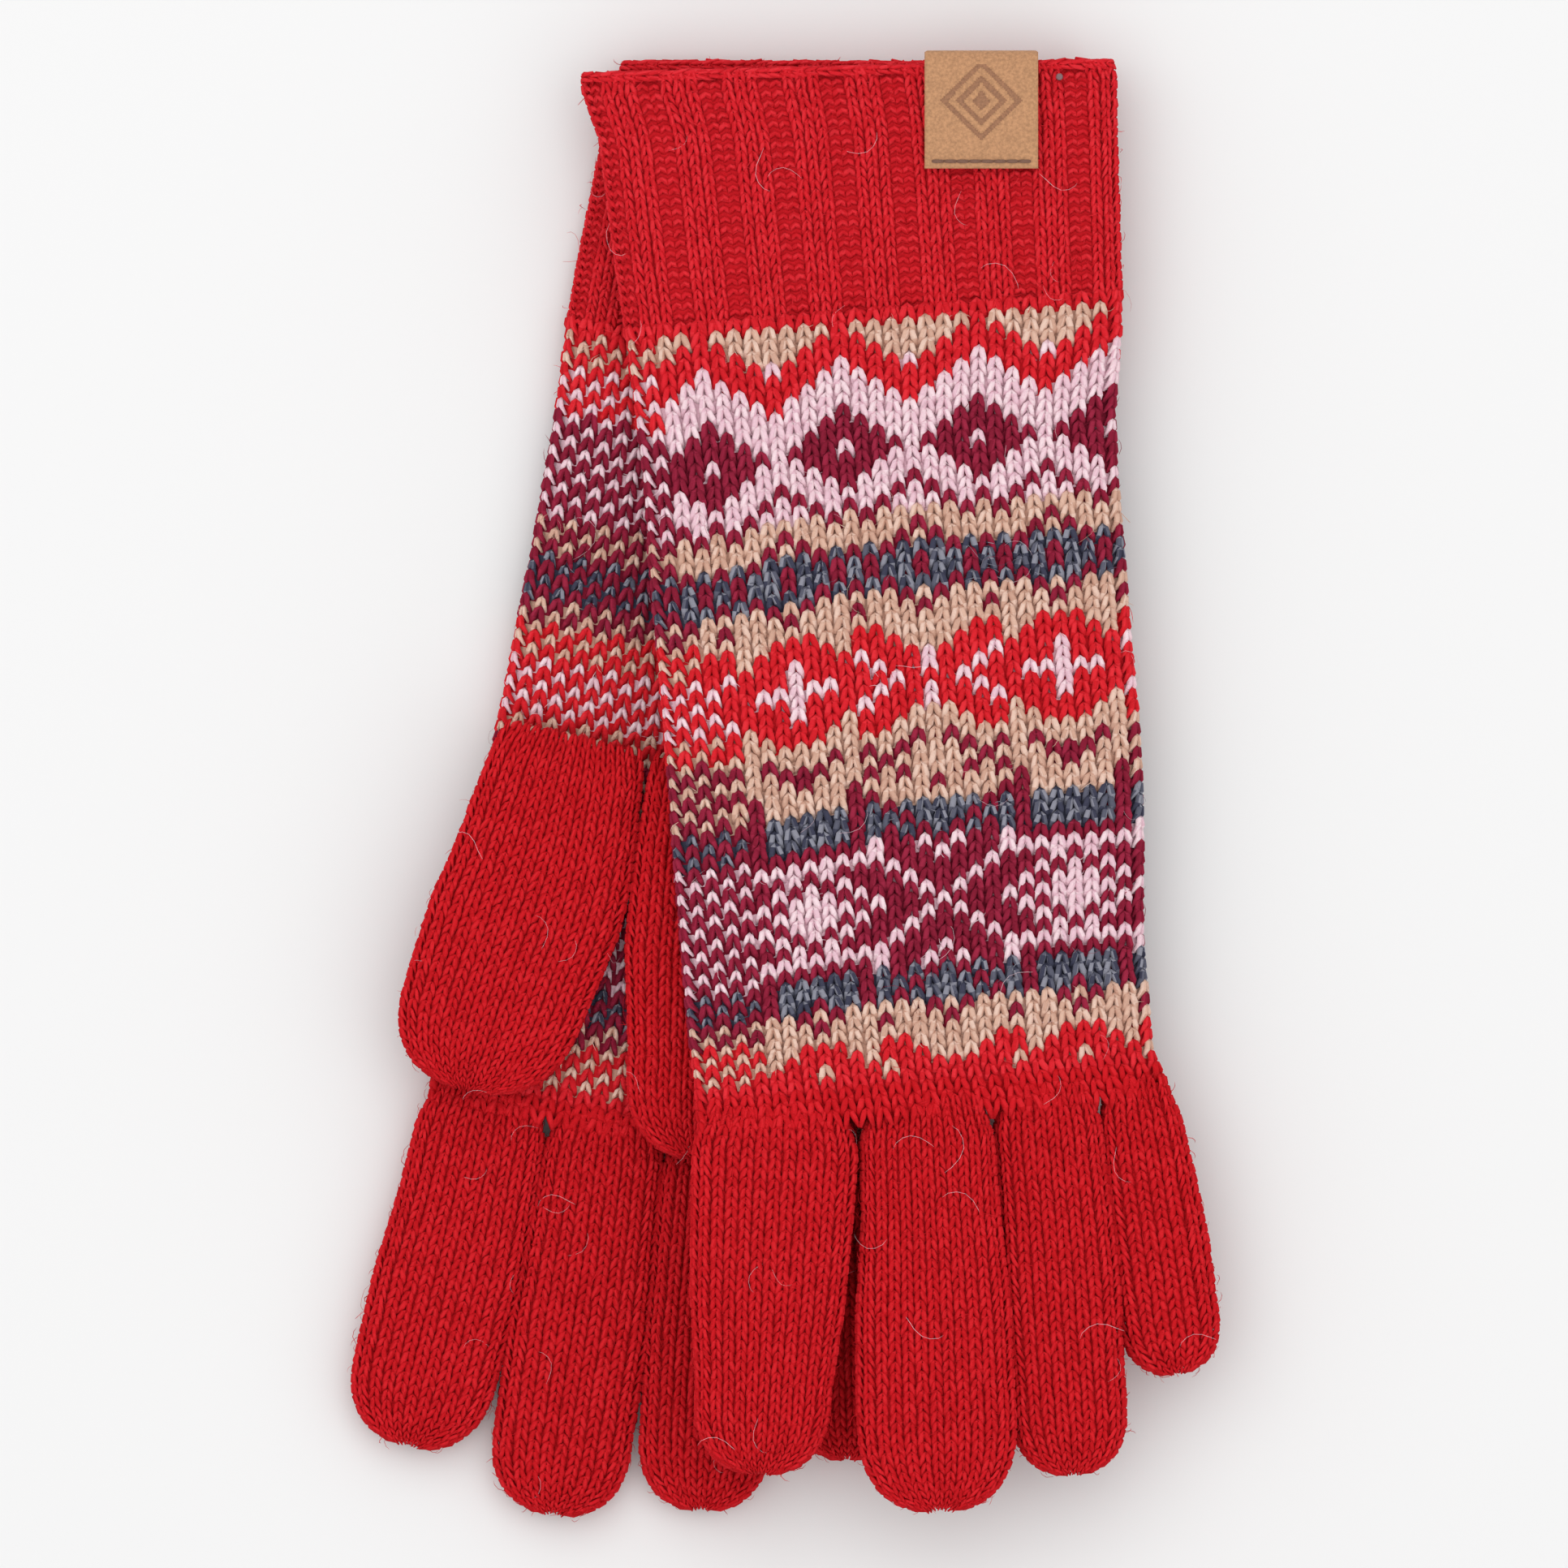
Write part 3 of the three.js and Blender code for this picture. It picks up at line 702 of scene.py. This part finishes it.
HAND_WALES = 58
HAND_ROW = 2.1
CHART_MIDDLE = 5.5  # column 8 of the chart runs down the back here
SIDE_CHECKS = (4.0, 12.5)  # how far the palm's checks wrap onto the back, at each end
DROOP = {"left": 3.2, "right": 0.0}  # the rows sag towards the thumb
PINCH = {"left": 2.4, "right": 0.0}  # the hand draws in before the little finger
CHECK_SMALL = 0.78  # the pale stitches of the checks sink among the dark ones
FULL_X, ZERO_X = -8.0, 42.2  # across, the thumbs below lift the hand fully here and not here
RISE_FROM, RISE_TO = 58.0, 112.0  # from the cuff's edge, the lift starts and is full here


def drape(side, x, y):
    """How far the upper glove is lifted by the thumbs that lie under it."""
    if side == "right":
        return np.zeros_like(x)
    rise = height("left_hand")[1] - GLOVES["left"]["thick"]
    across = np.clip((ZERO_X - x) / (ZERO_X - FULL_X), 0, 1)
    return rise * across * smooth(-y, RISE_FROM, RISE_TO)


def back_yarn(row, column):
    if not 0 <= row < len(CHART):
        return plain_yarn(row)
    fold = column % 16
    return LETTERS[CHART[row][min(fold, 16 - fold)]]


def plain_yarn(row):
    """The plain rows before the chart are knitted as the cuff is, those after it as the fingers are."""
    return "red" if row <= len(CHART) else "deep_red"


def palm_yarns(row):
    """The pale and the dark yarn of the checks in a row."""
    if not 0 <= row < len(CHART):
        return plain_yarn(row), plain_yarn(row)
    letters = CHART[row]
    dark = "B" if set(letters) & set("BG") else "R"
    return LETTERS[max("GPT", key=letters.count)], LETTERS[dark]


def knit_hand(side):
    glove = GLOVES[side]
    wrist, palm, knuckles, centre, knuckle_centre, length = glove["hand"]
    count = round(length / HAND_ROW)
    chart_rows = range(-1, count)  # one more row than the chart, under the end of the cuff
    rows = []
    for i in chart_rows:
        share = (i + 0.5) / count
        to_palm, to_knuckles = smooth(share, 0, 0.16), smooth(share, 0.5, 1)
        width = wrist + (palm - wrist) * to_palm
        width += (knuckles - width) * to_knuckles
        pinch = PINCH[side] * float(smooth(share, 0.55, 0.85) * (1 - smooth(share, 0.93, 1.0)))
        width -= pinch
        middle = centre * to_palm + (knuckle_centre - centre * to_palm) * to_knuckles - pinch / 2
        along = glove["wrist"] + GAP + share * (length - GAP)
        rows.append((along, middle, width, glove["thick"], glove["base"] + glove["thick"] / 2, 0))
    own = rings(rows, HAND_WALES)
    grid = own.copy()
    grid[..., 2] += drape(side, grid[..., 0], grid[..., 1])
    shares = (np.arange(len(rows)) - 0.5) / count
    sag_along = smooth(shares, 0.0, 0.2) * (1 - smooth(shares, 0.75, 1.0))
    sag = smooth(-own[..., 0], 4, 40) * sag_along[:, None]
    grid[..., 1] -= DROOP[side] * sag
    grid = soften(to_pair(side, grid), WAVE_DEPTH, HAND_SEEDS[side])
    places, facing, along, size = stitches_of(grid)
    half = HAND_WALES // 2
    first = 0 if side == "left" else half  # the charted back is up on the left, down on the right
    back = np.arange(first, first + half)
    key = back[np.argmin(np.abs(own[count // 2, back, 0] - CHART_MIDDLE))]
    way = 1 if side == "left" else -1
    yarns = np.empty(grid.shape[:2], object)
    for i, row in enumerate(chart_rows):
        thumb_side = own[i, :, 0].min() + np.interp(row / count, (0.25, 0.62), SIDE_CHECKS)
        pale, dark = palm_yarns(row)
        for column in range(HAND_WALES):
            if column in back and own[i, column, 0] > thumb_side:
                yarns[i, column] = back_yarn(row, 8 + way * (key - column))
            else:
                on = (row + column) % 2 == 0
                yarns[i, column] = pale if on else dark
                size[i, column] *= CHECK_SMALL if on and pale != dark else 1
    body = f"{side}_hand"
    pieces = []
    for face, columns in (("back", back), ("palm", np.setdiff1d(np.arange(HAND_WALES), back))):
        pick = [a[:, columns].reshape(-1, 3) for a in (places, facing, along, size)]
        pieces.append(knit(f"{body}_{face}", *pick, list(yarns[:, columns].ravel()), plain_stitch, 31))
    flat = list(yarns.ravel())
    pieces += grow_fibres(body, places.reshape(-1, 3), facing.reshape(-1, 3), flat, 32)
    pieces.append(felted_ground(f"{body}_ground", grid, flat))
    for piece in pieces:
        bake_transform(piece)
    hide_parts(body)


for side in GLOVES:
    knit_hand(side)

# ---------------------------------------------------------------- fingers and thumbs
# Plain red tubes in a finer gauge, knitted on at the knuckles or out of the palm, and
# drawn together at the tip by the end of the yarn.

FINGER_WALE, FINGER_ROW = 2.55, 1.8
KNUCKLE_DRAW = 0.16  # the corner beside a knuckle is round
THUMB_HINGE = 8.5  # from a thumb's base to its hinge
PLUMP = 1.6  # the fuzzy wool fills the space between neighbouring fingers
TIP_SHARE = 0.55  # the tip's curve begins this share of the last width from the end
TIP_OPEN, TIP_POWER = 0.97, 2.5
FINGER_WAVE_DEPTH = 0.4
BOW = {  # how far the tip bends across, as the pair lies
    ("right", "thumb"): -4.0, ("right", "index"): -1.4, ("right", "middle"): -0.9,
    ("left", "middle"): -0.5, ("left", "ring"): -0.9, ("left", "little"): -0.2,
}


def finger_rows(length, widths, thickness, centre, start, bow):
    """Rows from the base to the gathered tip, evenly spaced over the curve of the tip."""
    bend = TIP_SHARE * widths[3]
    fine = np.linspace(start, length, 400)
    past = np.clip((fine - length + bend) / bend, 0, TIP_OPEN)
    closing = (1 - past**TIP_POWER) ** (1 / TIP_POWER)
    width = np.interp(np.minimum(4 * fine / length, 3), range(4), widths) * closing
    gone = np.concatenate([[0], np.cumsum(np.hypot(np.diff(fine), 0.35 * np.diff(width)))])
    count = round(gone[-1] / FINGER_ROW)
    place = np.interp((np.arange(count) + 0.5) / count * gone[-1], gone, fine)
    shut = np.interp(place, fine, closing)
    return [
        (a, bow * float(smooth(a / length, 0.25, 1.0)), float(np.interp(a, fine, width)),
         thickness * (0.5 + 0.5 * float(c)), centre, 0)
        for a, c in zip(place, shut)
    ]


def knit_finger(side, name, x, y, degrees, length, widths, seed):
    thumb = name == "thumb"
    body = f"{side}_{name}"
    lowest, thickness = height(body)
    centre = lowest + thickness / 2
    widths = [w + PLUMP for w in widths]
    start = 0.0 if thumb else -2 * FINGER_ROW  # a finger's first rows lie inside the hand
    rows = finger_rows(length, widths, thickness, centre, start, BOW.get((side, name), 0.0))
    if thumb:  # its base is pressed flat on the palm that it grows out of
        rows = [(a, m, w, t * float(smooth(a, -5.0, 8.0)), h, u) for a, m, w, t, h, u in rows]
    else:
        drawn = [1 - KNUCKLE_DRAW + KNUCKLE_DRAW * float(smooth(row[0], -4.0, 5.0)) for row in rows]
        rows = [(a, m, w * d, t, h, u) for (a, m, w, t, h, u), d in zip(rows, drawn)]
    count = 2 * round((max(widths) + thickness / 2 - 2 * YARN_IN) / FINGER_WALE)
    grid = lean(rings(rows, count), x, y, degrees)
    grid = soften(to_pair(side, grid), FINGER_WAVE_DEPTH, seed)
    places, facing, along, size = (a.reshape(-1, 3) for a in stitches_of(grid))
    yarns = ["deep_red"] * len(places)
    pieces = [knit(f"{body}_knit", places, facing, along, size, yarns, fine_stitch, seed)]
    pieces += grow_fibres(body, places, facing, yarns, seed)
    pieces.append(felted_ground(f"{body}_ground", grid, yarns, closed_end=True))
    for piece in pieces:
        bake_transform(piece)
    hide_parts(body)


for side, glove in GLOVES.items():
    for seed, (name, (degrees, length, widths)) in enumerate(glove["fingers"].items(), 41):
        x, y = hinge_place(side, f"{side}_{name}_fold")
        knit_finger(side, name, x, y, degrees, length, widths, seed)
    degrees, length, widths = glove["thumb"]
    x, y = hinge_place(side, f"{side}_thumb_swing")
    a = math.radians(degrees)
    x, y = x - THUMB_HINGE * math.sin(a), y + THUMB_HINGE * math.cos(a)
    knit_finger(side, "thumb", x, y, degrees, length, widths, 51)

# ---------------------------------------------------------------- leather label
# A strip of tan leather folded over the upper cuff's edge, with a diamond inside a
# diamond pressed into its face. The press has sunk the leather; the pressed bands are coloured
# darker, partly as the burnish of the hot press and partly as painted shade in the sunk bands.

LABEL_THICK = 1.2
LABEL_COLUMNS, LABEL_ROWS, FOLD_ROWS, BACK_ROWS = 66, 62, 12, 12
PRESS_DEPTH = 0.22
FIGURE_UP = 1.6  # the figure sits this far above the label's middle
LABEL_EDGE, EDGE_DOWN = 0.6, 0.3  # the cut edge is rounded over this width, by this much
LEATHER_GRAIN = 0.55
DIAMONDS = ((0.0, 1.7), (3.2, 4.5), (6.0, 7.3))  # inner and outer reach of each pressed band
label_low, label_high = (np.array(corner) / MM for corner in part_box("label_patch"))


def pressed(x, y):
    """Whether a point of the label's face is inside a pressed band."""
    reach = abs(x) + abs(y)
    return any(inner <= reach <= outer for inner, outer in DIAMONDS)


leather = fresh_material("tan_leather")  # nubuck: matt, with fine pale and dark flecks
pressed_leather_and_shade = fresh_material("pressed_leather_and_shade")  # the same leather, darker in the pressed bands: the press's burnish plus painted shade there
for material, colour, rough in ((leather, "#b58661", 0.78), (pressed_leather_and_shade, "#95694c", 0.55)):
    tree = material.node_tree
    place = add_node(tree, "ShaderNodeTexCoord")
    grain = add_node(tree, "ShaderNodeTexNoise",
                     {"Scale": 1 / (LEATHER_GRAIN * MM), "Detail": 4.0, "Roughness": 0.65},
                     {"Vector": place.outputs["Object"]})
    fleck = add_node(tree, "ShaderNodeValToRGB", links={"Fac": grain.outputs[0]})
    dark, light = ([c * k for c in linear(colour)] for k in (0.8, 1.16))
    fleck.color_ramp.elements[0].position, fleck.color_ramp.elements[1].position = 0.36, 0.64
    fleck.color_ramp.elements[0].color = (*dark, 1)
    fleck.color_ramp.elements[1].color = (*light, 1)
    bump = add_node(tree, "ShaderNodeBump", {"Strength": 0.5, "Distance": 0.1 * MM},
                    {"Height": grain.outputs[0]})
    shader = add_node(tree, "ShaderNodeBsdfPrincipled",
                      {"Roughness": rough, "IOR": 1.5, "Specular IOR Level": 0.3},
                      {"Base Color": fleck.outputs[0], "Normal": bump.outputs[0]})
    add_node(tree, "ShaderNodeOutputMaterial", links={"Surface": shader.outputs[0]})


def fold_label():
    wide = label_high[0] - label_low[0]
    radius = (label_high[2] - label_low[2] - LABEL_THICK) / 2
    fold_y = label_high[1] - radius - LABEL_THICK / 2
    middle_z = (label_low[2] + label_high[2]) / 2
    leaf = fold_y - label_low[1]
    line = [(label_low[1] + leaf * i / LABEL_ROWS, middle_z + radius, 0, 1) for i in range(LABEL_ROWS)]
    for i in range(FOLD_ROWS + 1):
        a = math.pi * i / FOLD_ROWS
        s, c = math.sin(a), math.cos(a)
        line.append((fold_y + radius * s, middle_z + radius * c, s, c))
    line += [(fold_y - leaf * i / BACK_ROWS, middle_z - radius, 0, -1) for i in range(1, BACK_ROWS + 1)]
    centre = ((label_low[0] + label_high[0]) / 2, (label_low[1] + label_high[1]) / 2 + FIGURE_UP)
    count, rows = LABEL_COLUMNS + 1, len(line)
    outer, inner = [], []
    for i, (y, z, out_y, out_z) in enumerate(line):
        for k in range(count):
            x = label_low[0] + wide * k / LABEL_COLUMNS
            edge = min(x - label_low[0], label_high[0] - x, (y - label_low[1]) if out_z >= 0 else 9)
            down = EDGE_DOWN * (1 - min(edge / LABEL_EDGE, 1)) ** 2
            down += PRESS_DEPTH if out_z > 0.9 and pressed(x - centre[0], y - centre[1]) else 0
            half = LABEL_THICK / 2
            outer.append((x, y + out_y * (half - down), z + out_z * (half - down)))
            inner.append((x, y - out_y * half, z - out_z * half))
    verts, n = outer + inner, rows * count
    faces, slots = [], []
    for i in range(rows - 1):
        for k in range(count - 1):
            a, b = i * count + k, i * count + k + 1
            c, d = b + count, a + count
            x, y = ((verts[a][j] + verts[c][j]) / 2 - centre[j] for j in (0, 1))
            faces += [(a, b, c, d), (n + b, n + a, n + d, n + c)]
            # the pressed bands take the darker leather, which holds the burnish and painted shade of the sunk
            # bands
            slots += [1 if i < LABEL_ROWS and pressed(x, y) else 0, 0]
    rim = list(range(count)) + [i * count + count - 1 for i in range(1, rows)]
    rim += [(rows - 1) * count + k for k in range(count - 2, -1, -1)]
    rim += [i * count for i in range(rows - 2, 0, -1)]
    for a, b in zip(rim, rim[1:] + rim[:1]):
        faces.append((b, a, n + a, n + b))
        slots.append(0)
    mesh = bpy.data.meshes.new("label")
    mesh.from_pydata([tuple(MM * c for c in v) for v in verts], [], faces)
    mesh.materials.append(leather)
    mesh.materials.append(pressed_leather_and_shade)
    mesh.polygons.foreach_set("material_index", slots)
    mesh.polygons.foreach_set("use_smooth", [True] * len(faces))
    label = bpy.data.objects.new("label", mesh)
    bpy.context.scene.collection.objects.link(label)
    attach(label, "left_cuff")
    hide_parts("label_patch")


fold_label()

# ---------------------------------------------------------------- label stitching
# A row of brown thread across the label near its lower edge. Each stitch is a short
# length of thread that dips into the leather at both ends.

THREAD_STITCH = 2.2
thread = fresh_material("bonded_thread")  # twisted polyester: a faint shine along the thread
tree = thread.node_tree
place = add_node(tree, "ShaderNodeTexCoord")
twist = add_node(tree, "ShaderNodeTexWave", {"Scale": 1 / (0.5 * MM), "Distortion": 1.0},
                 {"Vector": place.outputs["Object"]}, bands_direction="DIAGONAL")
bump = add_node(tree, "ShaderNodeBump", {"Strength": 0.4, "Distance": 0.05 * MM},
                {"Height": twist.outputs[1]})
shader = add_node(tree, "ShaderNodeBsdfPrincipled",
                  {"Base Color": [*linear("#6f4a36"), 1], "Roughness": 0.5, "IOR": 1.54, "Sheen Weight": 0.2},
                  {"Normal": bump.outputs[0]})
add_node(tree, "ShaderNodeOutputMaterial", links={"Surface": shader.outputs[0]})

thread_low, thread_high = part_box("label_stitching")
thread_long = thread_high.x - thread_low.x
thread_count = round(thread_long / (THREAD_STITCH * MM))
pitch = thread_long / thread_count
bend = [(0, -0.5, -0.35, 0.09), (0, -0.4, 0.0, 0.13), (0, -0.15, 0.1, 0.14), (0, 0.15, 0.1, 0.14),
        (0, 0.4, 0.0, 0.13), (0, 0.5, -0.35, 0.09)]
one = yarn_tube("thread_stitch", bend, 8).data
verts, faces = [], []
for i in range(thread_count):
    at_x = thread_low.x + (i + 0.5) * pitch
    at_y, at_z = (thread_low.y + thread_high.y) / 2, thread_low.z
    start = len(verts)
    verts += [(at_x + v.co.y * pitch, at_y + v.co.x * pitch, at_z + v.co.z * pitch) for v in one.vertices]
    faces += [tuple(start + j for j in reversed(f.vertices)) for f in one.polygons]
mesh = bpy.data.meshes.new("label_thread")
mesh.from_pydata(verts, [], faces)
mesh.polygons.foreach_set("use_smooth", [True] * len(faces))
mesh.materials.append(thread)
label_thread = bpy.data.objects.new("label_thread", mesh)
bpy.context.scene.collection.objects.link(label_thread)
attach(label_thread, "left_cuff")
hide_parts("label_stitching")

# ---------------------------------------------------------------- nylon tack
# The fine nylon tack that holds the pair together at the cuffs. Its small head sinks
# into the wool, and its thin stem goes through both gloves to a crossbar inside.

nylon = fresh_material("clear_nylon")  # clear moulded nylon: takes the wool's grey-red shade
shader = add_node(nylon.node_tree, "ShaderNodeBsdfPrincipled",
                  {"Base Color": [*linear("#7d5f62"), 1], "Roughness": 0.3, "IOR": 1.53})
add_node(nylon.node_tree, "ShaderNodeOutputMaterial", links={"Surface": shader.outputs[0]})

TACK_HEAD, TACK_STEM = 0.65, 0.3
TACK_SIDES = 12
BAR_UP = 0.65  # the crossbar's height above the tack's lowest point
tack_low, tack_high = (np.array(corner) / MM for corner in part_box("pair_tack"))
tack_x, tack_y = (tack_low[:2] + tack_high[:2]) / 2
top, bottom = tack_high[2], tack_low[2]
profile = [  # radius and height, from the head down the stem
    (0.02, top - 0.2), (TACK_HEAD * 0.7, top - 0.28), (TACK_HEAD, top - 0.55), (TACK_HEAD * 0.8, top - 0.85),
    (TACK_STEM, top - 1.1), (TACK_STEM, bottom + 0.6), (0.02, bottom + 0.55),
]
turns = [k * 2 * math.pi / TACK_SIDES for k in range(TACK_SIDES)]
verts = [
    (MM * (tack_x + r * math.cos(turn)), MM * (tack_y + r * math.sin(turn)), MM * z)
    for r, z in profile
    for turn in turns
]
faces = []
for i in range(len(profile) - 1):
    for k in range(TACK_SIDES):
        a, b = i * TACK_SIDES + k, i * TACK_SIDES + (k + 1) % TACK_SIDES
        faces.append((b + TACK_SIDES, a + TACK_SIDES, a, b))
faces += [tuple(range(TACK_SIDES)), tuple(range(len(verts) - TACK_SIDES, len(verts)))[::-1]]
bar_line = [(0, -0.5, 0, 0.05), (0, -0.46, 0, 0.11), (0, 0.46, 0, 0.11), (0, 0.5, 0, 0.05)]
bar = yarn_tube("crossbar", bar_line, 8).data
bar_long = tack_high[0] - tack_low[0]
start = len(verts)
for v in bar.vertices:
    x, y, z = (v.co[i] * bar_long for i in (1, 0, 2))
    verts.append((MM * (tack_x + x), MM * (tack_y + y), MM * (bottom + BAR_UP + z)))
faces += [tuple(start + j for j in reversed(f.vertices)) for f in bar.polygons]
mesh = bpy.data.meshes.new("tack")
mesh.from_pydata(verts, [], faces)
mesh.polygons.foreach_set("use_smooth", [True] * len(faces))
mesh.materials.append(nylon)
tack = bpy.data.objects.new("tack", mesh)
bpy.context.scene.collection.objects.link(tack)
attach(tack, "right_cuff")
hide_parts("pair_tack")
